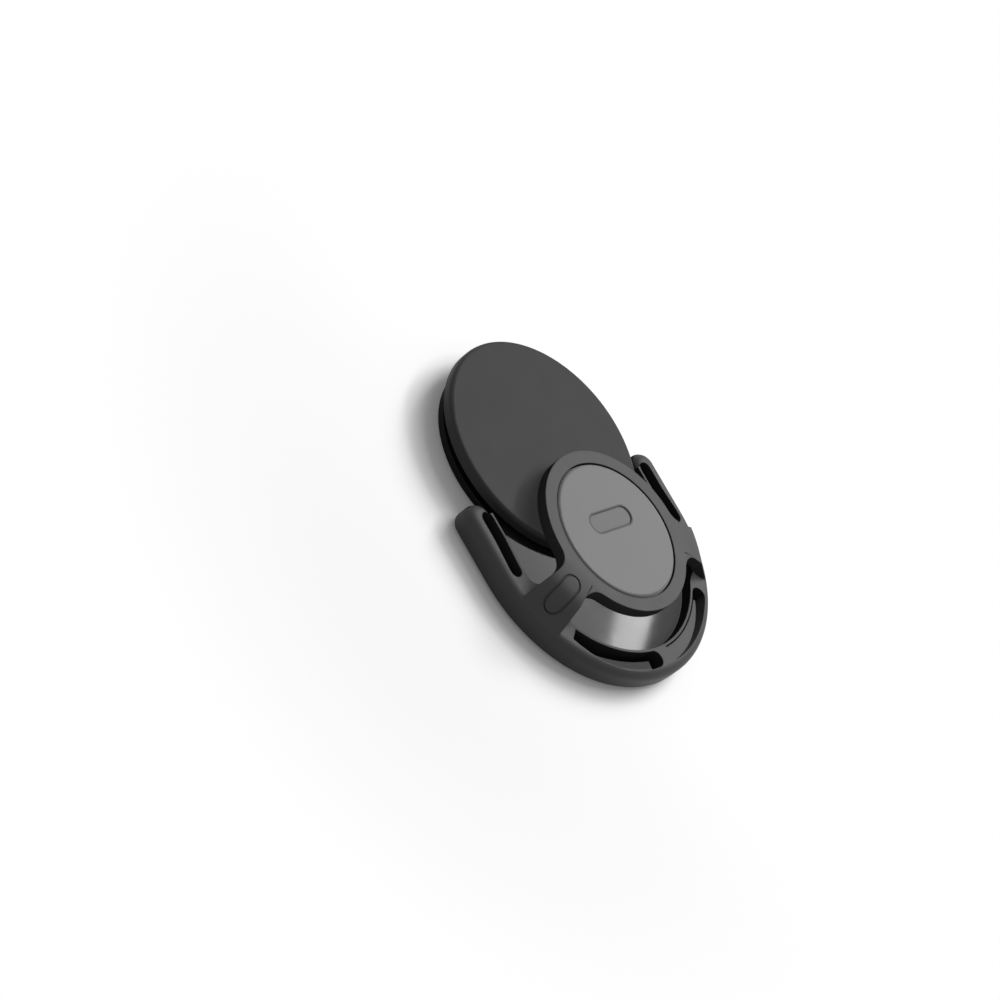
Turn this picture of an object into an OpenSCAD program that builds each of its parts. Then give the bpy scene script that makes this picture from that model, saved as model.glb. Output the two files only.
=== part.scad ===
// Phone wall mount: a U-shaped cradle that a wall holds, and the round grip that slides into it.
// The origin is the centre of the grip's adhesive face. +Z points to the wall, and +Y to the open end.
// The grip is shown part-way in, with its neck folded flat.

/* [Grip] */
// Radius of the cap that slides under the hub
cap_r = 19.75; // [17:0.05:24]
// Thickness of the cap
cap_t = 1.9; // [1.6:0.1:3]
// Rounding of the cap's upper edge
cap_round = 0.7; // [0.2:0.05:0.9]
// Radius of the base platform
platform_r = 18.2; // [16:0.1:19]
// Thickness of the base platform
platform_t = 1.2; // [1:0.05:2]
// Rounding of the platform's upper edge
platform_round = 0.4; // [0.1:0.05:0.5]
// Radius of the adhesive pad
adhesive_r = 17.4; // [14:0.1:18]
// Thickness of the adhesive pad
adhesive_t = 0.5; // [0.3:0.05:1]

/* [Folding neck] */
// Largest radius of the folding neck
neck_r = 9.2; // [8:0.1:10]
// Depth of each fold, measured along the radius
fold_depth = 3; // [2:0.1:3.5]
// Wall of the folding neck, measured along the radius
fold_wall = 1.6; // [1:0.1:2]
// Number of folds
fold_count = 3; // [2:1:4]
// Radius of the key's shank
key_r = 3.8; // [3:0.1:5]
// Reach of the key's two lugs from the axis
lug_reach = 6.2; // [5.4:0.1:7]
// Width of each lug
lug_w = 3.2; // [2:0.1:4]
// Thickness of each lug
lug_t = 0.4; // [0.3:0.05:0.5]

/* [Seat] */
// Clearance round the cap where it is fully in
seat_gap = 0.55; // [0.3:0.05:1]
// Clearance between the cap and each arm
arm_gap = 0.15; // [0.1:0.05:0.3]
// How far the cap's centre is out of the seat
slide_out = 17.8; // [0:0.1:22]
// Clearance of the folding neck in the liner's slot
neck_gap = 0.4; // [0.3:0.05:1]
// Clearance of the platform between the frame's ledges
ledge_gap = 0.4; // [0.3:0.05:0.6]
// Clearance between the platform and the liner above it
lip_gap = 0.3; // [0.2:0.05:0.5]
// Clearance between the liner's highest edge and the cap
cap_gap = 0.3; // [0.2:0.05:0.5]
// Clearance between the cap and the hub plate
hub_gap = 1.5; // [1:0.1:2.5]

/* [Liner] */
// Thickness of the liner at its outer edge
liner_t = 0.9; // [0.7:0.05:1.2]
// Rise of the crowned liner from its outer edge to its slot
crown_rise = 0.8; // [0.4:0.05:1.2]
// Parting gap between the liner and the frame
parting = 0.15; // [0.1:0.05:0.3]

/* [U wall] */
// Height of the wall's top above the underside of the cap
rim_rise = 0.9; // [0.5:0.05:1.2]
// Gap between the wall's lower edge and the device
foot_gap = 0.4; // [0.2:0.05:0.6]
// Thickness of the flexible rim inside the slots
rim_t = 0.45; // [0.4:0.05:0.8]
// Width of the slots
slot_w = 2.45; // [1.6:0.05:3]
// Thickness of the wall outside the slots
skin_t = 1.9; // [1.8:0.05:2.6]
// Thickness left under the slots
floor_t = 0.9; // [0.6:0.05:1.2]
// Rounding of the wall's upper outer edge
top_round = 1.7; // [1:0.05:1.75]
// Rounding of the wall's lower outer edge
foot_round = 1; // [0.4:0.05:1]
// Height of the arms' round ends above the seat's centre
arm_len = 12.2; // [8:0.1:16]
// Height of the arm slots' round ends above the seat's centre
slot_len = 10.1; // [6.5:0.1:10.2]

/* [Lower slots] */
// Width of the lower right slot
low_slot_w = 2.75; // [2.4:0.05:2.8]
// Width of the slit between the rim and the thick core beside it
slit_w = 0.2; // [0.15:0.05:0.4]
// Width of the lower left slot below its step, beside the rib
step_w = 1.25; // [1:0.05:1.5]
// Depth of the step below the wall's top
step_drop = 0.9; // [0.5:0.1:1.5]

/* [Hub and straps] */
// Radius of the hub plate
hub_r = 14.85; // [13.5:0.05:15.2]
// Distance of the hub plate's centre below the seat's centre
hub_drop = 0.8; // [0:0.05:1]
// Thickness of the hub plate
hub_t = 2.1; // [1.8:0.05:3]
// Angle from the horizontal to the middle of each strap
strap_angle = 22; // [19:0.5:25]
// Angle that each strap spans
strap_span = 20; // [14:0.5:22]
// Radius at which each strap begins to slope
strap_flat_r = 15.85; // [15.6:0.05:16.4]
// Radius of the shoulder at which each strap turns down
strap_bend_r = 20; // [19:0.05:20.8]
// Drop of the shoulder below the hub's face
strap_drop = 1.1; // [0.6:0.05:1.5]
// Thickness of the straps
strap_t = 1.9; // [1.6:0.05:2.1]
// Fillets between the hub plate and the straps
neck_fillet = 3.3; // [2:0.1:3.6]
// Fillets between the rim and the straps
rim_fillet = 2; // [1:0.1:2.2]

/* [Wall pad] */
// Radius of the wall pad
pad_r = 12.3; // [9:0.05:12.5]
// Width of the groove round the wall pad
pad_groove = 0.2; // [0.15:0.05:0.6]
// Depth of the pad's seat in the hub plate
pad_depth = 1; // [0.7:0.05:1.2]
// Height of the pad's face above the hub's face
pad_proud = 0.1; // [0:0.05:0.4]
// Rounding of the pad's edge
pad_round = 0.55; // [0.1:0.05:0.7]
// Length of the oblong on the pad
oblong_l = 10.4; // [6:0.1:14]
// Width of the oblong on the pad
oblong_w = 3.4; // [2:0.1:4]
// Height of the oblong's middle above the pad's centre
oblong_y = 2; // [-3:0.1:4]
// Depth of the oblong
oblong_depth = 0.2; // [0.05:0.01:0.3]

/* [Strap mark] */
// Length of the bare oblong cut into the left strap, seen from above
mark_l = 7; // [5:0.1:7.4]
// Width of that oblong
mark_w = 3.4; // [2.4:0.1:4]
// Width of its line
mark_line = 0.25; // [0.2:0.05:0.4]
// Depth of its line
mark_depth = 0.15; // [0.1:0.05:0.3]
// Distance of its middle from the seat's centre
mark_r = 19.8; // [19.4:0.1:20]

/* [Hidden] */
$fn = 96;

// Running clearances of the key
shank_gap = 0.06;
lug_gap = 0.08;
cut = 1;

// Heights above the device, from the adhesive pad up to the wall pad
platform_top = adhesive_t + platform_t;
liner_z = platform_top + lip_gap;
crown_z = liner_z + liner_t + crown_rise;
cap_z = crown_z + cap_gap;
cap_top = cap_z + cap_t;
hub_z = cap_top + hub_gap;
hub_top = hub_z + hub_t;
rim_z = cap_z + rim_rise;
pad_z = hub_top - pad_depth;
pad_top = hub_top + pad_proud;

// Radii about the seat's centre, and the same lines on the straight arms
seat_r = cap_r + seat_gap;
arm_x = cap_r + arm_gap;
ledge_r = platform_r + ledge_gap;
slot_r = seat_r + rim_t;
slot_x = arm_x + rim_t;
outer_r = slot_r + slot_w + skin_t;
liner_r = seat_r - parting;
liner_x = arm_x - parting;
liner_slot = neck_r + neck_gap;

// The arms narrow from the seat over the first part of their length
narrow_y = 5;
tip_r = (outer_r - arm_x) / 2;
tip_x = arm_x + tip_r;
tip_y = arm_len - tip_r;
slot_end_r = slot_w / 2;
slot_lap = 0.06;
slot_high_y = slot_len - slot_end_r - slot_lap;
slot_low_y = -0.5;
slot_z = foot_gap + floor_t;
slot_depth = rim_z - slot_z + cut;

// Angles about the seat's centre: the straps' sides, and the lower slots' ends beside the straps
strap_low = strap_angle + strap_span / 2;
strap_high = strap_angle - strap_span / 2;
slot_land = 6.2;
low_end_r = low_slot_w / 2;
low_mid_r = slot_r + low_end_r;
right_high = -strap_low - slot_land - asin(low_end_r / low_mid_r);
left_high = -180 + strap_low + slot_land;

// The core in the lower right slot: its angles, and the off-centre arc that bounds it outside
core_low = -85;
core_high = -46;
core_c = [-0.7, -4.75];
core_r = 18.85;

// The lower left slot: its end at the rib, its outer arc, and the step's two ends and inner arc
left_low = -95.6;
bow_c = [-2.4, -5.8];
bow_r = 17.75;
step_low = -98;
step_high = -140;
step_c = [1.2, 7.5];
step_r = norm((slot_r + step_w) * [cos(step_low), sin(step_low)] - step_c);

// How far one face is let into the next where the two would only touch
let_in = 0.02;

// The wall's upper outer edge, and the line from a strap's shoulder that runs down to it
edge_c = [outer_r - top_round, rim_z - top_round];
edge_r = top_round - let_in;
shoulder = [strap_bend_r, hub_top - strap_drop];
edge_way = shoulder - edge_c;
edge_angle = atan2(edge_way[1], edge_way[0]) - acos(edge_r / norm(edge_way));
edge_pt = edge_c + edge_r * [cos(edge_angle), sin(edge_angle)];

// The strap's two slopes, and its underside at the strap's thickness below them
upper_slope = atan2(strap_drop, strap_bend_r - strap_flat_r);
lower_slope = 90 - edge_angle;
mean_slope = (upper_slope + lower_slope) / 2;
under_bend = shoulder - strap_t / cos(mean_slope - upper_slope) * [sin(mean_slope), cos(mean_slope)];
under_hub = [under_bend[0] - (hub_z - under_bend[1]) / tan(upper_slope), hub_z];
under_wall = [seat_r, under_bend[1] - (seat_r - under_bend[0]) * tan(lower_slope)];

// The ramps between the rim and the straps fade out at this distance from the seat's wall
ramp_len = outer_r - top_round / 2 - seat_r;
ramp_reach = rim_fillet - let_in;

// The folding neck, from its foot above the platform to its seat in the cap
neck_foot = 0.6;
neck_seat = 0.7;
neck_z = platform_top + neck_foot;
neck_top = cap_z + neck_seat;
fold_pitch = (neck_top - neck_z) / fold_count;
key_flange_r = neck_r - fold_wall;
lug_z = adhesive_t + lug_gap;
lip_z = lug_z + lug_t + lug_gap;

hub_c = [0, -hub_drop];

// A rectangle from one corner to the other
module box2(low, high) {
    translate(low) square(high - low);
}

// A wedge from the seat's centre between two angles, wide enough for the whole wall
module sector(a, b) {
    reach = 2 * outer_r;
    polygon([[0, 0], reach * [cos(a), sin(a)], reach * [cos(b), sin(b)]]);
}

// An oblong with round ends
module oblong(length, width) {
    square([length - width, width], center = true);
    for (x = [-1, 1]) translate([x * (length - width) / 2, 0]) circle(width / 2);
}

// A disc from z up, with a rounded upper edge
module disc(r, z, t, rounding) {
    rotate_extrude() {
        box2([0, z], [r - rounding, z + t]);
        box2([0, z], [r, z + t - rounding]);
        translate([r - rounding, z + t - rounding]) intersection() {
            circle(rounding, $fn = 48);
            square(rounding);
        }
    }
}

// The wall's outer part in section, from x outwards
module skin_section(x, outer) {
    box2([x, foot_gap], [outer - top_round, rim_z]);
    box2([x, foot_gap], [outer - foot_round, rim_z - top_round]);
    box2([x, foot_gap + foot_round], [outer, rim_z - top_round]);
    translate([outer - foot_round, foot_gap + foot_round]) circle(foot_round, $fn = 64);
    translate([outer - top_round, rim_z - top_round]) circle(top_round, $fn = 64);
}

// The wall round the seat in section, with the ledge that carries the liner
module wall_section() {
    skin_section(seat_r, outer_r);
    box2([ledge_r, foot_gap], [seat_r + rim_t, liner_z]);
}

// The strap and hub plate in section, down to the wall's rounded edge
module strap_section() {
    polygon([[0, hub_z], [0, hub_top], [strap_flat_r, hub_top], shoulder, edge_pt, edge_c,
        [seat_r, edge_c[1]], under_wall, under_bend, under_hub]);
    skin_section(seat_r, outer_r);
}

// Centre of a fillet between the hub plate and a strap's edge at angle a.
// side is 1 where the open side is anticlockwise of the edge, and -1 where it is clockwise
function fillet_centre(a, side) =
    let (u = [cos(a), sin(a)], n = side * [-sin(a), cos(a)], w = neck_fillet * n - hub_c, k = u * w)
    u * (sqrt(k * k - w * w + pow(hub_r + neck_fillet, 2)) - k) + neck_fillet * n;

module neck_web(a, side) {
    f = fillet_centre(a, side);
    u = [cos(a), sin(a)];
    difference() {
        polygon([hub_c, f, u * (f * u)]);
        translate(f) circle(neck_fillet, $fn = 64);
    }
}

// Outline of the right strap, as a wedge from the seat's centre with its two fillets
module strap_outline() {
    reach = outer_r + cut;
    low = reach * [cos(strap_low), -sin(strap_low)];
    high = reach * [cos(strap_high), -sin(strap_high)];
    polygon([[0, 0], low, high]);
    neck_web(-strap_high, 1);
    neck_web(-strap_low, -1);
}

module mirrored() {
    children();
    mirror([1, 0, 0]) children();
}

// The straps and the hub plate between them, cut out of one turned form
module bridge() {
    intersection() {
        rotate_extrude() strap_section();
        linear_extrude(hub_top + cut) mirrored() strap_outline();
    }
    translate([hub_c[0], hub_c[1], hub_z]) cylinder(hub_t, r = hub_r);
}

// A concave ramp from the rim up to the strap's side at angle a, which fades out at the wall's outer edge.
// side is as above. The axis of the hollow crosses the strap's side where the ramp ends
module rim_ramp(a, side) {
    turn = atan2(ramp_reach, ramp_len);
    intersection() {
        rotate_extrude() intersection() {
            strap_section();
            box2([seat_r, foot_gap], [outer_r, hub_top]);
        }
        rotate(a) mirror([0, side < 0 ? 1 : 0, 0]) translate([seat_r + ramp_len, 0, rim_z]) rotate(-turn)
            difference() {
                translate([0, 0, -cut]) linear_extrude(rim_fillet + cut) intersection() {
                    rotate(turn) translate([-ramp_len - cut, -cut]) square([ramp_len + cut, ramp_len]);
                    translate([-outer_r, -outer_r]) square(outer_r);
                }
                translate([-outer_r, 0, rim_fillet - let_in]) rotate([0, 90, 0])
                    cylinder(outer_r + rim_fillet, r = rim_fillet);
            }
    }
}

// The right arm: a straight length of the wall that narrows to arm_x, with a round end
module arm() {
    rotate([90, 0, 0]) translate([0, 0, -tip_y]) linear_extrude(tip_y) skin_section(slot_r, outer_r);
    translate([0, 0, liner_z]) linear_extrude(rim_z - liner_z)
        polygon([[seat_r, 0], [arm_x, narrow_y], [arm_x, tip_y], [tip_x, tip_y], [slot_r + cut, 0]]);
    translate([ledge_r, 0, foot_gap]) cube([tip_x - ledge_r, tip_y, liner_z - foot_gap]);
    translate([tip_x, tip_y, 0]) rotate_extrude() intersection() {
        skin_section(0, tip_r);
        square([tip_r, rim_z]);
    }
}

// The slot in the right arm, which runs a little way below the seat's centre, with round ends
module arm_slot() {
    translate([0, 0, slot_z]) {
        linear_extrude(slot_depth)
            polygon([[slot_r, slot_low_y], [slot_r, 0], [slot_x, narrow_y], [slot_x, slot_high_y],
                [slot_x + slot_w, slot_high_y], [slot_x + slot_w, narrow_y], [slot_r + slot_w, 0],
                [slot_r + slot_w, slot_low_y]]);
        translate([slot_x + slot_end_r, slot_high_y + slot_lap, 0]) cylinder(slot_depth, r = slot_end_r);
        translate([slot_r + slot_end_r, slot_low_y - slot_lap, 0]) cylinder(slot_depth, r = slot_end_r);
    }
}

// The lower right slot, drawn round a thick core that leaves a slit beside the rim
module right_slot() {
    translate([0, 0, slot_z]) linear_extrude(slot_depth) difference() {
        union() {
            intersection() {
                circle(slot_r + low_slot_w, $fn = 192);
                sector(core_low - slot_land, right_high);
            }
            rotate(right_high) translate([low_mid_r, slot_lap]) circle(low_end_r);
        }
        circle(slot_r, $fn = 192);
        difference() {
            intersection() {
                translate(core_c) circle(core_r, $fn = 192);
                sector(core_low, core_high);
            }
            circle(slot_r + slit_w, $fn = 192);
        }
        intersection() {
            translate(core_c) circle(core_r, $fn = 192);
            sector(core_low - 2 * slot_land, core_low);
        }
    }
}

// Outline of the lower left slot, with a round end at the rib
module left_outline() {
    way = [cos(left_low), sin(left_low)];
    k = bow_c * way;
    bow_reach = k + sqrt(k * k + bow_r * bow_r - bow_c * bow_c);
    difference() {
        intersection() {
            translate(bow_c) circle(bow_r, $fn = 192);
            sector(left_high, left_low);
        }
        circle(slot_r, $fn = 192);
    }
    rotate(left_low) translate([(slot_r + bow_reach) / 2, slot_lap]) circle((bow_reach - slot_r) / 2);
}

// The lower left slot, with a step along its outer side
module left_slot() {
    translate([0, 0, slot_z]) linear_extrude(slot_depth) difference() {
        left_outline();
        difference() {
            sector(step_high, step_low);
            translate(step_c) circle(step_r, $fn = 192);
        }
    }
    translate([0, 0, rim_z - step_drop]) linear_extrude(step_drop + cut) left_outline();
}

// The line of a bare oblong, which follows the left strap at an even depth
module strap_mark() {
    difference() {
        translate([0, 0, rim_z]) linear_extrude(hub_top) rotate(180 + strap_angle) translate([mark_r, 0])
            difference() {
                oblong(mark_l, mark_w);
                oblong(mark_l - 2 * mark_line, mark_w - 2 * mark_line);
            }
        translate([0, 0, -mark_depth]) rotate_extrude()
            polygon([[0, 0], [0, hub_top], [strap_flat_r, hub_top], shoulder, edge_pt, [edge_pt[0], 0]]);
    }
}

module cradle_frame() {
    color([0.045, 0.045, 0.047]) translate([0, -slide_out, 0]) difference() {
        union() {
            rotate(180) rotate_extrude(angle = 180) wall_section();
            mirrored() arm();
            bridge();
            mirrored() {
                rim_ramp(-strap_high, 1);
                rim_ramp(-strap_low, -1);
            }
        }
        mirrored() arm_slot();
        right_slot();
        left_slot();
        strap_mark();
        translate([hub_c[0], hub_c[1], pad_z]) cylinder(pad_depth + cut, r = pad_r + pad_groove);
    }
}

// The crowned liner, turned round the seat and drawn straight along the arms, which it narrows with
module slide_liner() {
    color([0.07, 0.07, 0.072]) translate([0, -slide_out, 0]) {
        rotate(180) rotate_extrude(angle = 180) crown_section();
        mirrored() intersection() {
            rotate([90, 0, 0]) translate([0, 0, -tip_y]) linear_extrude(tip_y) crown_section();
            translate([0, 0, liner_z - cut]) linear_extrude(crown_z + cut)
                polygon([[0, 0], [liner_r, 0], [liner_x, narrow_y], [liner_x, tip_y], [0, tip_y]]);
        }
    }
}

// The liner in section, crowned by an arc that is level at the slot's edge
module crown_section() {
    crown_w = liner_r - liner_slot;
    crown_r = (crown_w * crown_w + crown_rise * crown_rise) / (2 * crown_rise);
    intersection() {
        box2([liner_slot, liner_z], [liner_r, crown_z + cut]);
        translate([liner_slot, crown_z - crown_r]) circle(crown_r, $fn = 360);
    }
}

// The round insert on the wall side of the hub, with its bare oblong
module wall_pad() {
    color([0.25, 0.25, 0.25]) translate([hub_c[0], hub_c[1] - slide_out, 0]) difference() {
        disc(pad_r, pad_z, pad_top - pad_z, pad_round);
        translate([0, oblong_y, pad_top - oblong_depth]) linear_extrude(cut) oblong(oblong_l, oblong_w);
    }
}

// The cap, hollowed underneath for the folded neck
module grip_cap() {
    color([0.09, 0.09, 0.09]) difference() {
        disc(cap_r, cap_z, cap_t, cap_round);
        translate([0, 0, cap_z - cut]) cylinder(neck_top - cap_z + cut, r = neck_r + neck_gap);
    }
}

// The folding neck: a bellows whose wall zigzags between two radii
module grip_collar() {
    crease = [for (i = [0:2 * fold_count])
        [i % 2 == 0 ? neck_r - fold_depth : neck_r, neck_z + i * fold_pitch / 2]];
    color([0.03, 0.03, 0.03]) rotate_extrude()
        polygon(concat(crease, [for (i = [2 * fold_count:-1:0]) crease[i] - [fold_wall, 0]]));
}

// The key: a flange under the neck, a shank through the platform, and two lugs under its lip
module grip_key() {
    color([0.05, 0.05, 0.05]) {
        translate([0, 0, platform_top + lug_gap]) cylinder(neck_z - platform_top - lug_gap, r = key_flange_r);
        translate([0, 0, lug_z]) cylinder(neck_z - lug_z, r = key_r);
        translate([0, 0, lug_z]) intersection() {
            cylinder(lug_t, r = lug_reach);
            translate([-lug_w / 2, -lug_reach, 0]) cube([lug_w, 2 * lug_reach, lug_t]);
        }
    }
}

// The base platform, with the key's socket: a lip with two notches over a round recess
module grip_platform() {
    notch_w = lug_w + 4 * lug_gap;
    color([0.05, 0.05, 0.05]) difference() {
        disc(platform_r, adhesive_t, platform_t, platform_round);
        translate([0, 0, adhesive_t - cut]) cylinder(platform_t + 2 * cut, r = key_r + shank_gap);
        translate([0, 0, adhesive_t - cut]) cylinder(lip_z - adhesive_t + cut, r = lug_reach + lug_gap);
        translate([-lug_reach - lug_gap, -notch_w / 2, adhesive_t])
            cube([2 * (lug_reach + lug_gap), notch_w, platform_t + cut]);
    }
}

module grip_adhesive() {
    color([0.3, 0.3, 0.3]) cylinder(adhesive_t, r = adhesive_r);
}

cradle_frame();
slide_liner();
wall_pad();
grip_cap();
grip_collar();
grip_key();
grip_platform();
grip_adhesive();
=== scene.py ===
import math

import bpy
import numpy as np
from bpy.props import FloatProperty, FloatVectorProperty, IntProperty, PointerProperty
from mathutils import Matrix, Quaternion, Vector


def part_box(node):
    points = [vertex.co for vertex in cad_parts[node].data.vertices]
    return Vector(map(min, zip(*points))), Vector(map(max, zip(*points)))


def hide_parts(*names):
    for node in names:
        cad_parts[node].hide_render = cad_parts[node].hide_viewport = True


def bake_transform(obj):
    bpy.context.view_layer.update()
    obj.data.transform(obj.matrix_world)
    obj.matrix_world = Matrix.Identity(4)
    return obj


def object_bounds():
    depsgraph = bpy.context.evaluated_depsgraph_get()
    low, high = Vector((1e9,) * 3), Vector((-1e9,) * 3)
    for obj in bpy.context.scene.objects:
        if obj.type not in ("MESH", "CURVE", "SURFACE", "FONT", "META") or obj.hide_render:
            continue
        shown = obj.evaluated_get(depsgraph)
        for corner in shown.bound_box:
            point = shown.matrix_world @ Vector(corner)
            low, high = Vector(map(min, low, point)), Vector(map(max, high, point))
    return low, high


bl_info = {
    "name": "Phone wall mount",
    "version": (1, 0, 0),
    "blender": (4, 5, 0),
    "location": "View3D > Sidebar > Wall mount",
    "description": "Finishes for a wall cradle and the folding grip that slides into it",
    "category": "Object",
}

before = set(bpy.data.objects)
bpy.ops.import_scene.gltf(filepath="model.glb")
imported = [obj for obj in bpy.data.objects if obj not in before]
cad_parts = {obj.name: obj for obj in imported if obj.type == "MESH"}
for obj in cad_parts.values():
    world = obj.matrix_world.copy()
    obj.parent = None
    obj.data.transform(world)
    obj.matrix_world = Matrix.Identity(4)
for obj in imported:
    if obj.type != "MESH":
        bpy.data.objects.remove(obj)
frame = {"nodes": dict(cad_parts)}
CAD_BOX = [[float(c) for c in corner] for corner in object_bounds()]
MM = 0.001


def node_box(name):
    """The lowest and highest corner of a CAD node, as numpy arrays in metres."""
    low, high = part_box(name)
    return np.array(low, float), np.array(high, float)


NECK_LOW, NECK_HIGH = node_box("grip_collar")
CRADLE_LOW, CRADLE_HIGH = node_box("cradle_frame")
PAD_LOW, PAD_HIGH = node_box("wall_pad")

# The cradle's forms that its finish follows, in metres. Radii are from the axis of the U's round end.
OUTER_R = float(CRADLE_HIGH[0] - CRADLE_LOW[0]) / 2
AXIS_Y = float(CRADLE_LOW[1]) + OUTER_R
SLOT_OUTER_R = OUTER_R - 1.9 * MM
SLOT_INNER_R = SLOT_OUTER_R - 2.45 * MM
RIM_Z = 4.9 * MM

# The straps' two bends: the radius, half of the change in slope, and the reach of the curve to each side
UPPER_BEND = (15.85 * MM, 0.13, 2.0 * MM)
LOWER_BEND = (20.0 * MM, 0.27, 1.8 * MM)

# Where a mask of the cradle starts and where it is full
CLEAR_OF_HUB_X = (11.5 * MM, 12.93 * MM)
CLEAR_OF_HUB_Y = (-20.0 * MM, -21.43 * MM)
ABOVE_RIM = (RIM_Z + 0.1 * MM, RIM_Z + 0.6 * MM)
BELOW_RIM = (RIM_Z - 0.7 * MM, RIM_Z - 1.03 * MM)
INSIDE_U = (SLOT_OUTER_R + 0.25 * MM, SLOT_OUTER_R + 0.05 * MM)
OUTSIDE_LINER = (SLOT_INNER_R - 0.35 * MM, SLOT_INNER_R - 0.15 * MM)
UPRIGHT = (0.6, 0.2)

# The bare oblongs: the middle seen from above, the turn of the long side in degrees, the length, the width
STRAP_TURN = 22.0
STRAP_MARK_R = 19.8 * MM
STRAP_MARK = (
    (-STRAP_MARK_R * math.cos(math.radians(STRAP_TURN)),
     AXIS_Y - STRAP_MARK_R * math.sin(math.radians(STRAP_TURN))),
    STRAP_TURN, 7.0 * MM, 3.4 * MM)
PAD_MARK = (((PAD_LOW + PAD_HIGH) / 2)[:2] + (0.0, 2.0 * MM), 0.0, 10.4 * MM, 3.4 * MM)

# The painted shade in the grooves round the oblongs: the place out from the outline, and how far to each side
# dark and faded
STRAP_GROOVE_SHADE = (-0.12 * MM, 0.133 * MM, 0.356 * MM)
PAD_GROOVE_SHADE = (0.06 * MM, 0.14 * MM, 0.34 * MM)
PAD_FLOOR = (0.0, -0.125 * MM)

# The lamps: the bearing from +X and the height in degrees, the size and the roll
LAMP_DISTANCE = 0.7
KEY_BEARING, KEY_SIZE = (13.0, 36.0), (0.3, 0.3)
STRIP_BEARING, STRIP_SIZE = (-3.0, 40.6), (0.071, 0.5)
PANEL_BEARING, PANEL_SIZE = (15.5, 56.8), (0.43, 0.5)
WINDOW_ROLL = 51.0

# The floor's paint, and the ring over which it turns to plain white
WHITE = (1.0, 1.0, 1.0, 1.0)
PAINT = (0.8, 0.8, 0.8, 1.0)
PAINT_GLOW = 0.09
GROUND_MIDDLE_Y = -12.0 * MM
GROUND_RING = (36.0 * MM, 96.0 * MM)

# The camera stands where the photograph was taken from
CAMERA_PLACE = (-0.419839, -0.100845, 0.328243)
CAMERA_TURN = (
    (0.612187, 0.190349, -0.767460),
    (-0.490170, 0.852955, -0.179445),
    (0.620451, 0.486040, 0.615472),
)


# Sizes and colours


class NeckSizes(bpy.types.PropertyGroup):
    folds: IntProperty(name="Folds", description="Number of folds in the neck", default=3, min=2, max=5)
    fold_depth: FloatProperty(
        name="Fold depth", description="Depth of a fold along the radius",
        default=3.0 * MM, unit="LENGTH", precision=5)
    wall: FloatProperty(
        name="Wall", description="Thickness of the neck's wall along the radius",
        default=1.5 * MM, unit="LENGTH", precision=5)
    roundness: FloatProperty(
        name="Roundness", description="How round the creases are, from sharp to a plain wave",
        default=0.45, min=0.1, max=1.0, subtype="FACTOR")


class FinishColours(bpy.types.PropertyGroup):
    frame: FloatVectorProperty(
        name="Frame", description="Moulded plastic of the frame",
        default=(0.03, 0.03, 0.031), subtype="COLOR", size=3, min=0, max=1)
    liner: FloatVectorProperty(
        name="Liner", description="Polished plastic of the liner",
        default=(0.011, 0.011, 0.0115), subtype="COLOR", size=3, min=0, max=1)
    pad: FloatVectorProperty(
        name="Wall pad", description="Satin face of the wall pad",
        default=(0.104, 0.104, 0.105), subtype="COLOR", size=3, min=0, max=1)
    cap: FloatVectorProperty(
        name="Cap", description="Fine-grained plastic of the cap",
        default=(0.018, 0.018, 0.0185), subtype="COLOR", size=3, min=0, max=1)
    neck: FloatVectorProperty(
        name="Neck", description="Rubber of the folding neck",
        default=(0.02, 0.02, 0.021), subtype="COLOR", size=3, min=0, max=1)
    adhesive: FloatVectorProperty(
        name="Adhesive", description="Gel of the adhesive pad",
        default=(0.2, 0.2, 0.205), subtype="COLOR", size=3, min=0, max=1)


class GrainSizes(bpy.types.PropertyGroup):
    fine: FloatProperty(
        name="Fine grain", description="Width of the grain that the mould leaves",
        default=0.11 * MM, unit="LENGTH", precision=6)
    broad: FloatProperty(
        name="Broad grain", description="Width of the slow changes in the plastic's sheen",
        default=2.6 * MM, unit="LENGTH", precision=5)
    edge: FloatProperty(
        name="Edge", description="Radius by which light rounds the moulded edges",
        default=0.11 * MM, unit="LENGTH", precision=6)
    crease: FloatProperty(
        name="Crease", description="Radius by which light rounds the frame's edges and creases",
        default=0.25 * MM, unit="LENGTH", precision=6)


class StageSizes(bpy.types.PropertyGroup):
    key_power: FloatProperty(
        name="Key lamp", description="Power of the low lamp on the right, which casts the shadow",
        default=3.4, min=0, unit="POWER")
    strip_power: FloatProperty(
        name="Strip lamp", description="Power of the narrow lamp that the polished liner mirrors",
        default=1.45, min=0, unit="POWER")
    panel_power: FloatProperty(
        name="Panel lamp", description="Power of the broad lamp above the strip",
        default=2.0, min=0, unit="POWER")
    room: FloatProperty(
        name="Room light", description="Strength of the even light all round", default=0.29, min=0)
    floor_radius: FloatProperty(
        name="Floor", description="Radius of the white floor", default=2.5, unit="LENGTH")
    lens: FloatProperty(
        name="Lens", description="Focal length in millimetres on a sensor 36 mm wide", default=118.358)


# Shader expressions


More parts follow.
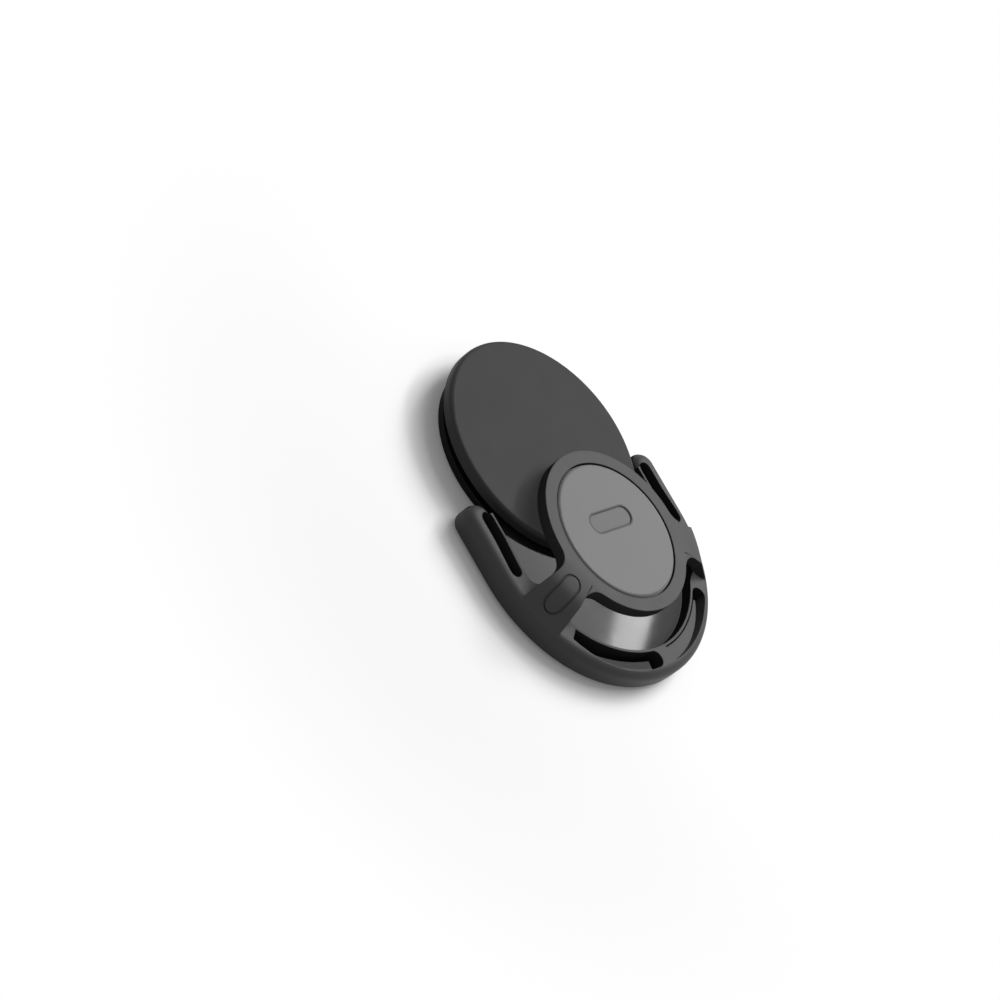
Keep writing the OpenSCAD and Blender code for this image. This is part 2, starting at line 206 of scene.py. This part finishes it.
class Level:
    """A number that varies over a surface. Arithmetic on it adds Math nodes."""

    def __init__(self, tree, socket):
        self.tree, self.socket = tree, socket

    def _math(self, operation, a, b):
        node = self.tree.nodes.new("ShaderNodeMath")
        node.operation = operation
        for slot, value in zip(node.inputs, (a, b)):
            if isinstance(value, Level):
                self.tree.links.new(value.socket, slot)
            else:
                slot.default_value = value
        return Level(self.tree, node.outputs[0])

    def __add__(self, other):
        return self._math("ADD", self, other)

    __radd__ = __add__

    def __sub__(self, other):
        return self._math("SUBTRACT", self, other)

    def __rsub__(self, other):
        return self._math("SUBTRACT", other, self)

    def __mul__(self, other):
        return self._math("MULTIPLY", self, other)

    __rmul__ = __mul__

    def __pow__(self, other):
        return self._math("POWER", self, other)

    def absolute(self):
        return self._math("ABSOLUTE", self, 0.0)

    def at_least(self, other):
        return self._math("MAXIMUM", self, other)

    def clamped(self):
        return self._math("MINIMUM", self, 1.0).at_least(0.0)

    def ramp(self, start, end):
        """0 up to start and 1 past end, with a straight slope between. The end may be the lower one."""
        return ((self - start) * (1 / (end - start))).clamped()


class Nodes:
    """A node tree under construction, with one method that adds any node."""

    def __init__(self, owner, output):
        owner.use_nodes = True
        self.tree = owner.node_tree
        self.tree.nodes.clear()
        self.out = self.tree.nodes.new(output)

    def fill(self, slot, value):
        """Sets an input to a value, or links it to a Level or a socket."""
        if isinstance(value, Level):
            value = value.socket
        if isinstance(value, bpy.types.NodeSocket):
            self.tree.links.new(value, slot)
        else:
            slot.default_value = value

    def node(self, kind, settings=None, *slots, **sockets):
        """A node of a type, with its settings, and its inputs in order or by name with _ for a space."""
        made = self.tree.nodes.new(kind)
        for key, value in (settings or {}).items():
            setattr(made, key, value)
        for slot, value in zip(made.inputs, slots):
            self.fill(slot, value)
        for key, value in sockets.items():
            self.fill(made.inputs[key.replace("_", " ")], value)
        return made

    def seen(self):
        """1 to the camera, in reflections and through clear pieces, and 0 to all other rays."""
        path = self.node("ShaderNodeLightPath").outputs
        camera, glossy, clear = (
            Level(self.tree, path[ray]) for ray in ("Is Camera Ray", "Is Glossy Ray", "Is Transmission Ray"))
        return (camera + glossy + clear).clamped()


class Finish(Nodes):
    """A material under construction."""

    def __init__(self, name):
        self.material = bpy.data.materials.new(name)
        super().__init__(self.material, "ShaderNodeOutputMaterial")

    def place(self):
        return self.node("ShaderNodeTexCoord").outputs["Object"]

    def parts(self, vector):
        """The three parts of a vector socket, as Levels."""
        outputs = self.node("ShaderNodeSeparateXYZ", Vector=vector).outputs
        return [Level(self.tree, outputs[axis]) for axis in "XYZ"]

    def grain(self, width, detail=2.0, seed=0.0):
        """Noise whose features are about width metres wide, as a Level from 0 to 1."""
        shift = (seed, seed * 0.7, seed * 0.3)
        shifted = self.node("ShaderNodeVectorMath", {"operation": "ADD"}, self.place(), shift)
        noise = self.node(
            "ShaderNodeTexNoise", Vector=shifted.outputs[0], Scale=0.5 / width, Detail=detail, Roughness=0.5)
        return Level(self.tree, noise.outputs[0])

    def from_oblong(self, middle, turn, length, width):
        """The distance in metres from the outline of an oblong with round ends, below 0 inside it.

        Seen from above, its middle is at the point middle and its long side is turned by turn degrees from
        +X. With u along it and v across it, this is the length of (past, v) less width / 2, where past is the
        part of |u| beyond the straight sides.
        """
        x, y, _ = self.parts(self.place())
        x, y = x - middle[0], y - middle[1]
        c, s = math.cos(math.radians(turn)), math.sin(math.radians(turn))
        past = ((x * c + y * s).absolute() - (length - width) / 2).at_least(0.0)
        across = y * c - x * s
        return (past * past + across * across) ** 0.5 - width / 2

    def tint(self, mask, low, high):
        """A colour between low and high by mask. Each is a colour or a socket that gives one."""
        mix = self.node("ShaderNodeMix", {"data_type": "RGBA"}, mask)
        for slot, colour in ((mix.inputs[6], low), (mix.inputs[7], high)):
            self.fill(slot, (*colour, 1.0) if isinstance(colour, tuple) else colour)
        return mix.outputs[2]

    def relief(self, height, depth, edge=None):
        """A normal from a height between 0 and 1 that is worth depth metres, over edges rounded by edge."""
        sockets = {"Height": height, "Distance": depth, "Strength": 1.0}
        if edge:
            sockets["Normal"] = self.node("ShaderNodeBevel", {"samples": 6}, Radius=edge).outputs[0]
        return self.node("ShaderNodeBump", **sockets).outputs[0]

    def skin(self, colour, roughness, normal, matt=None, **constants):
        """The shader itself. Constants are set straight on its sockets. Where matt is 1 it has no gloss,
        which paints shade.
        """
        base = {"Base_Color": colour, "Roughness": roughness, "Normal": normal}
        shown = self.node("ShaderNodeBsdfPrincipled", **base, **constants).outputs[0]
        if matt:
            dull = self.node("ShaderNodeBsdfPrincipled", **base, Specular_IOR_Level=0.0).outputs[0]
            shown = self.mixed(matt, shown, dull)
        return self.closed(shown)

    def mixed(self, factor, one, other):
        """The one shader where factor is 0 and the other where it is 1."""
        return self.node("ShaderNodeMixShader", None, factor, one, other).outputs[0]

    def closed(self, shader):
        self.fill(self.out.inputs[0], shader)
        return self.material


def shade(colour, factor):
    return tuple(min(1.0, c * factor) for c in colour)


def on_line(out, place, dark, faded):
    """1 on a line that follows an outline and 0 beside it. out is the distance outward from the outline."""
    return (out - place).absolute().ramp(faded, dark)


def eased_bend(r, radius, slope, reach):
    """The height in metres that rounds a bend: -slope / (2 * reach) * near ** 2.

    near is reach - |r - radius|, or 0 where that is below 0. The height's own slope is the given one where
    it meets the bend from either side.
    """
    near = (reach - (r - radius).absolute()).at_least(0.0)
    return near * near * (-slope / (2 * reach))


def eased_bends(finish):
    """The height in metres that turns the straps' two straight bends into slow curves.

    The upper one fades out on the hub, which has no bend, and both fade out on the rim.
    """
    x, y, z = finish.parts(finish.place())
    inward = y - AXIS_Y
    r = (x * x + inward * inward) ** 0.5
    on_strap = x.absolute().ramp(*CLEAR_OF_HUB_X) * y.ramp(*CLEAR_OF_HUB_Y)
    height = eased_bend(r, *UPPER_BEND) * on_strap + eased_bend(r, *LOWER_BEND)
    return height * z.ramp(*ABOVE_RIM)


def painted_recess_shade(finish):
    """1 on the walls and the slot floors inside the U, and 0 outside. This is painted shade: there the frame
    loses its gloss, as if the recesses lay in shade.

    The distance from the U's middle line is r = length(x, y below the axis), and a wall is where the
    normal's z is near 0.
    """
    x, y, z = finish.parts(finish.place())
    normal = finish.parts(finish.node("ShaderNodeNewGeometry").outputs["Normal"])
    below = (AXIS_Y - y).at_least(0.0)
    r = (x * x + below * below) ** 0.5
    wall = normal[2].absolute().ramp(*UPRIGHT)
    slot_floor = z.ramp(*BELOW_RIM) * r.ramp(*OUTSIDE_LINER)
    return r.ramp(*INSIDE_U) * (wall + slot_floor).clamped()


def moulded_plastic(name, colour, grain, edge, roughness, depth, specular, mark=None, bends=None, matt=None):
    """Injection-moulded plastic: a spark-eroded grain over the whole face, and a sheen that drifts a little.

    The line round a mark, an oblong's (middle, turn, length, width), is darker: painted shade in its groove.
    bends and matt are functions of the finish: a further height in metres, and the share without gloss, which
    is painted shade.
    """
    finish = Finish(name)
    fine = finish.grain(grain.fine, detail=3.0)
    broad = finish.grain(grain.broad, detail=1.5, seed=0.31)
    pores = finish.grain(grain.fine * 3.2, detail=1.0, seed=0.12)
    height = fine * 0.65 + pores * 0.35
    if bends:
        height = height + bends(finish) * (1 / depth)
    rough = roughness + (broad - 0.5) * 0.07 + (fine - 0.5) * 0.05
    tone = finish.tint((broad * 0.6 + fine * 0.4).clamped(), shade(colour, 0.9), shade(colour, 1.1))
    if mark:
        # Painted shade in the groove round the strap's mark
        line = on_line(finish.from_oblong(*mark), *STRAP_GROOVE_SHADE)
        tone = finish.tint(line, tone, shade(colour, 0.35))
    normal = finish.relief(height, depth, edge)
    return finish.skin(
        tone, rough.clamped(), normal, matt=matt and matt(finish), Specular_IOR_Level=specular)


def polished_plastic(name, colour, grain, roughness, specular):
    """Polished plastic: a smooth face with the slow ripple of the mould and a trace of fine wear."""
    finish = Finish(name)
    ripple = finish.grain(grain.broad * 1.8, detail=1.0, seed=0.5)
    haze = finish.grain(grain.broad * 0.7, detail=3.0, seed=0.9)
    rough = roughness + (haze - 0.5) * 0.06
    tone = finish.tint(haze.clamped(), shade(colour, 0.92), shade(colour, 1.08))
    return finish.skin(
        tone, rough.clamped(), finish.relief(ripple, 0.004 * MM, grain.edge), Specular_IOR_Level=specular)


def satin_rubber(name, colour, grain, roughness, depth, mark=None):
    """Soft rubber: a close matt grain, a little lighter where the grain stands up.

    The floor of a mark, an oblong's (middle, turn, length, width), is a little darker, and the line at its
    edge darker still, which is painted shade as in a groove.
    """
    finish = Finish(name)
    fine = finish.grain(grain.fine * 0.8, detail=3.0, seed=0.2)
    broad = finish.grain(grain.broad * 1.3, detail=2.0, seed=0.7)
    rough = roughness + (fine - 0.5) * 0.08
    tone = finish.tint((fine * 0.7 + broad * 0.3).clamped(), shade(colour, 0.88), shade(colour, 1.12))
    if mark:
        out = finish.from_oblong(*mark)
        tone = finish.tint(out.ramp(*PAD_FLOOR), tone, shade(colour, 0.72))
        # Painted shade along the edge of the pad's mark
        tone = finish.tint(on_line(out, *PAD_GROOVE_SHADE), tone, shade(colour, 0.15))
    return finish.skin(
        tone, rough.clamped(), finish.relief(fine, depth, grain.edge), Specular_IOR_Level=0.35)


def clear_gel(name, colour, grain):
    """The adhesive gel: a tacky, slightly cloudy layer."""
    finish = Finish(name)
    cloud = finish.grain(grain.broad, detail=3.0, seed=0.4)
    rough = 0.28 + (cloud - 0.5) * 0.1
    tone = finish.tint(cloud.clamped(), shade(colour, 0.85), shade(colour, 1.12))
    return finish.skin(tone, rough.clamped(), finish.relief(cloud, 0.01 * MM, grain.edge), IOR=1.41)


# Surfaces


def swept_mesh(name, points, material):
    """A mesh object from a grid of points that closes both ways: points[i, j] joins i + 1 and j + 1."""
    rows, cols = points.shape[:2]
    ids = np.arange(rows * cols).reshape(rows, cols)
    across, along = np.roll(ids, -1, axis=0), np.roll(ids, -1, axis=1)
    both = np.roll(across, -1, axis=1)
    quads = np.stack([ids, along, both, across], axis=-1).reshape(-1, 4)
    mesh = bpy.data.meshes.new(name)
    mesh.from_pydata(points.reshape(-1, 3).tolist(), [], quads.tolist())
    mesh.polygons.foreach_set("use_smooth", np.ones(len(quads), bool))
    mesh.materials.append(material)
    mesh.update()
    piece = bpy.data.objects.new(name, mesh)
    bpy.context.scene.collection.objects.link(piece)
    return piece


def crease_wave(turns, roundness):
    """A wave between 0 and 1 that starts and ends at 0, with sharp creases at roundness 0 and a sine at 1.

    It is (1 - arcsin(b * cos(2 pi turns)) / arcsin(b)) / 2, with b = sin(pi / 2 * (1 - roundness)).
    """
    bend = math.sin(math.pi / 2 * (1 - roundness))
    swing = np.cos(2 * np.pi * turns)
    zigzag = np.arcsin(bend * swing) / math.asin(bend) if bend > 1e-6 else swing
    return (1 - zigzag) / 2


def folded_neck(sizes, material):
    """The neck as a ring: its profile runs up the outside and down the inside, and goes round the axis.

    At height t from 0 to 1 the outside's radius is outer - depth + depth * wave(folds * t), and the inside's
    is less by the wall.
    """
    steps_per_fold, sides = 24, 144
    low, high = NECK_LOW, NECK_HIGH
    outer = (high[0] - low[0]) / 2
    t = np.linspace(0.0, 1.0, steps_per_fold * sizes.folds + 1)
    radius = outer - sizes.fold_depth + sizes.fold_depth * crease_wave(sizes.folds * t, sizes.roundness)
    height = low[2] + (high[2] - low[2]) * t
    ring = np.concatenate([radius, (radius - sizes.wall)[::-1]])
    rise = np.concatenate([height, height[::-1]])
    angle = np.linspace(0, 2 * np.pi, sides, endpoint=False)
    grid = np.empty((len(angle), len(ring), 3))
    grid[..., 0] = np.cos(angle)[:, None] * ring
    grid[..., 1] = np.sin(angle)[:, None] * ring
    grid[..., 2] = rise
    return swept_mesh("folded_neck", grid[::-1], material)


# Pieces


def dress(node, material):
    """Gives a CAD node its finish."""
    slots = frame["nodes"][node].material_slots
    if not slots:
        raise RuntimeError(f"node {node} has no material slot")
    for slot in slots:
        slot.material = material


class MOUNT_OT_frame(bpy.types.Operator):
    """Finishes the frame and its liner"""

    bl_idname = "wall_mount.frame"
    bl_label = "Frame and liner"

    def execute(self, context):
        colours, grain = context.scene.mount_colours, context.scene.mount_grain
        # Inside the U the frame's walls and slot floors lose their gloss, which is painted shade in the
        # recesses
        dress("cradle_frame", moulded_plastic(
            "frame_plastic", colours.frame, grain, edge=grain.crease, roughness=0.5, depth=0.009 * MM,
            specular=0.25, mark=STRAP_MARK, bends=eased_bends, matt=painted_recess_shade))
        dress("slide_liner", polished_plastic(
            "liner_plastic", colours.liner, grain, roughness=0.1, specular=0.26))
        return {"FINISHED"}


class MOUNT_OT_pad(bpy.types.Operator):
    """Finishes the round pad on the wall side"""

    bl_idname = "wall_mount.pad"
    bl_label = "Wall pad"

    def execute(self, context):
        colours, grain = context.scene.mount_colours, context.scene.mount_grain
        dress("wall_pad", satin_rubber(
            "pad_rubber", colours.pad, grain, roughness=0.5, depth=0.004 * MM, mark=PAD_MARK))
        return {"FINISHED"}


class MOUNT_OT_grip(bpy.types.Operator):
    """Finishes the cap, the platform, the key and the adhesive pad of the grip"""

    bl_idname = "wall_mount.grip"
    bl_label = "Grip"

    def execute(self, context):
        colours, grain = context.scene.mount_colours, context.scene.mount_grain
        dress("grip_cap", moulded_plastic(
            "cap_plastic", colours.cap, grain, edge=grain.edge, roughness=0.55, depth=0.006 * MM,
            specular=0.16))
        # The platform and key take the cap's colour shaded to 0.3 and less gloss, which is painted shade
        # under the cap
        base = moulded_plastic(
            "base_plastic_painted_shade", shade(colours.cap, 0.3), grain, edge=grain.edge, roughness=0.55,
            depth=0.007 * MM, specular=0.08)
        dress("grip_platform", base)
        dress("grip_key", base)
        dress("grip_adhesive", clear_gel("adhesive_gel", colours.adhesive, grain))
        return {"FINISHED"}


class MOUNT_OT_neck(bpy.types.Operator):
    """Builds the folding neck as one rubber bellows"""

    bl_idname = "wall_mount.neck"
    bl_label = "Folding neck"

    def execute(self, context):
        scene = context.scene
        rubber = satin_rubber(
            "neck_rubber", scene.mount_colours.neck, scene.mount_grain, roughness=0.62, depth=0.006 * MM)
        neck = folded_neck(scene.mount_neck, rubber)
        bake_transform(neck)
        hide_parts("grip_collar")
        return {"FINISHED"}


# Stage


def white_ground():
    """White paint that glows a little to the camera and in reflections, so that a shadow still shows.

    Over the ring it slowly turns to plain white there. With t from 0 at its inside to 1 at its outside, the
    share of white is t * t * (3 - 2 * t).
    """
    finish = Finish("white_ground")
    seen = finish.seen()
    x, y, _ = finish.parts(finish.place())
    y = y - GROUND_MIDDLE_Y
    t = ((x * x + y * y) ** 0.5).ramp(*GROUND_RING)
    far = t * t * (3 - 2 * t)
    paint = finish.node("ShaderNodeBsdfDiffuse", Color=PAINT).outputs[0]
    glow = finish.node("ShaderNodeEmission", Color=WHITE, Strength=PAINT_GLOW).outputs[0]
    white = finish.node("ShaderNodeEmission", Color=WHITE, Strength=1.0).outputs[0]
    lit = finish.node("ShaderNodeAddShader", None, paint, glow).outputs[0]
    return finish.closed(finish.mixed(seen * far, finish.mixed(seen, paint, lit), white))


def white_room(strength):
    """The world: even light of a strength, and white where the camera or a reflection sees it."""
    world = bpy.data.worlds.new("white_room")
    room = Nodes(world, "ShaderNodeOutputWorld")
    shown = strength + room.seen() * (1 - strength)
    light = room.node("ShaderNodeBackground", Color=WHITE, Strength=shown)
    room.fill(room.out.inputs[0], light.outputs[0])
    bpy.context.scene.world = world


def round_floor(radius, height, material):
    """A level disc: rings of points at radius * u ** 2 from the middle, u from 0 to 1."""
    rings, sides = 12, 96
    u = np.linspace(0.0, 1.0, rings)[1:] ** 2
    angle = np.linspace(0, 2 * np.pi, sides, endpoint=False)
    rim = np.stack([np.outer(u, np.cos(angle)), np.outer(u, np.sin(angle))], axis=-1) * radius
    points = np.vstack([[0.0, 0.0], rim.reshape(-1, 2)])
    points = np.column_stack([points, np.full(len(points), height)])
    ids = np.arange(len(u) * len(angle)).reshape(len(u), len(angle)) + 1
    after = np.roll(ids, -1, axis=1)
    quads = np.stack([ids[:-1], ids[1:], after[1:], after[:-1]], axis=-1).reshape(-1, 4)
    middle = np.stack([np.zeros(len(angle), int), ids[0], after[0]], axis=-1)
    mesh = bpy.data.meshes.new("floor")
    mesh.from_pydata(points.tolist(), [], quads.tolist() + middle.tolist())
    mesh.materials.append(material)
    floor = bpy.data.objects.new("floor", mesh)
    bpy.context.scene.collection.objects.link(floor)
    return floor


def from_bearing(azimuth, elevation):
    """The unit vector at an angle round from +X and an angle up from the floor, in degrees."""
    a, e = math.radians(azimuth), math.radians(elevation)
    return Vector((math.cos(a) * math.cos(e), math.sin(a) * math.cos(e), math.sin(e)))


def softbox(name, bearing, size, power, target, roll=0.0):
    """An oblong lamp in a direction from target, facing it and rolled by an angle in degrees."""
    data = bpy.data.lights.new(name, "AREA")
    data.shape, data.energy = "RECTANGLE", power
    data.size, data.size_y = size
    lamp = bpy.data.objects.new(name, data)
    back = from_bearing(*bearing)
    lamp.location = target + back * LAMP_DISTANCE
    lamp.rotation_mode = "QUATERNION"
    lamp.rotation_quaternion = back.to_track_quat("Z", "Y") @ Quaternion((0, 0, 1), math.radians(roll))
    bpy.context.scene.collection.objects.link(lamp)
    return lamp


def photo_camera(lens):
    """The camera, with a focal length in millimetres on a sensor 36 mm wide."""
    data = bpy.data.cameras.new("camera")
    data.sensor_width, data.lens = 36.0, lens
    data.clip_start, data.clip_end = 0.01, 20.0
    camera = bpy.data.objects.new("camera", data)
    camera.rotation_mode = "QUATERNION"
    camera.rotation_quaternion = Matrix(CAMERA_TURN).to_quaternion()
    camera.location = CAMERA_PLACE
    bpy.context.scene.collection.objects.link(camera)
    return camera


class MOUNT_OT_stage(bpy.types.Operator):
    """Sets up the white floor, the lamps and the camera"""

    bl_idname = "wall_mount.stage"
    bl_label = "Stage"

    def execute(self, context):
        scene, sizes = context.scene, context.scene.mount_stage
        low, high = (Vector(c) for c in CAD_BOX)
        middle = (low + high) / 2
        round_floor(sizes.floor_radius, low.z - 0.01 * MM, white_ground())
        key = softbox("key_lamp", KEY_BEARING, KEY_SIZE, sizes.key_power, middle)
        key.visible_glossy = False
        softbox("strip_lamp", STRIP_BEARING, STRIP_SIZE, sizes.strip_power, middle, WINDOW_ROLL)
        softbox("panel_lamp", PANEL_BEARING, PANEL_SIZE, sizes.panel_power, middle, WINDOW_ROLL)
        # The liner mirrors the lamps as if the hub weren't above it, as in a product picture
        for name in ("cradle_frame", "wall_pad"):
            frame["nodes"][name].visible_glossy = False
        white_room(sizes.room)
        scene.camera = photo_camera(sizes.lens)
        scene.view_settings.view_transform = "Standard"
        return {"FINISHED"}


class MOUNT_PT_panel(bpy.types.Panel):
    bl_label = "Phone wall mount"
    bl_idname = "MOUNT_PT_panel"
    bl_space_type = "VIEW_3D"
    bl_region_type = "UI"
    bl_category = "Wall mount"

    def draw(self, context):
        for step in STEPS:
            self.layout.operator(step.bl_idname)
        for group in GROUPS:
            box = self.layout.box()
            settings = getattr(context.scene, group)
            for name in settings.bl_rna.properties.keys():
                if name not in {"rna_type", "name"}:
                    box.prop(settings, name)


GROUPS = {
    "mount_neck": NeckSizes,
    "mount_colours": FinishColours,
    "mount_grain": GrainSizes,
    "mount_stage": StageSizes,
}
STEPS = (MOUNT_OT_frame, MOUNT_OT_pad, MOUNT_OT_grip, MOUNT_OT_neck, MOUNT_OT_stage)
CLASSES = (*GROUPS.values(), *STEPS, MOUNT_PT_panel)


def register():
    for cls in CLASSES:
        bpy.utils.register_class(cls)
    for name, group in GROUPS.items():
        setattr(bpy.types.Scene, name, PointerProperty(type=group))


def unregister():
    for name in GROUPS:
        delattr(bpy.types.Scene, name)
    for cls in reversed(CLASSES):
        bpy.utils.unregister_class(cls)


def main():
    register()
    bpy.ops.wall_mount.frame()
    bpy.ops.wall_mount.pad()
    bpy.ops.wall_mount.grip()
    bpy.ops.wall_mount.neck()
    bpy.ops.wall_mount.stage()
    bpy.context.view_layer.update()


if __name__ == "__main__":
    main()
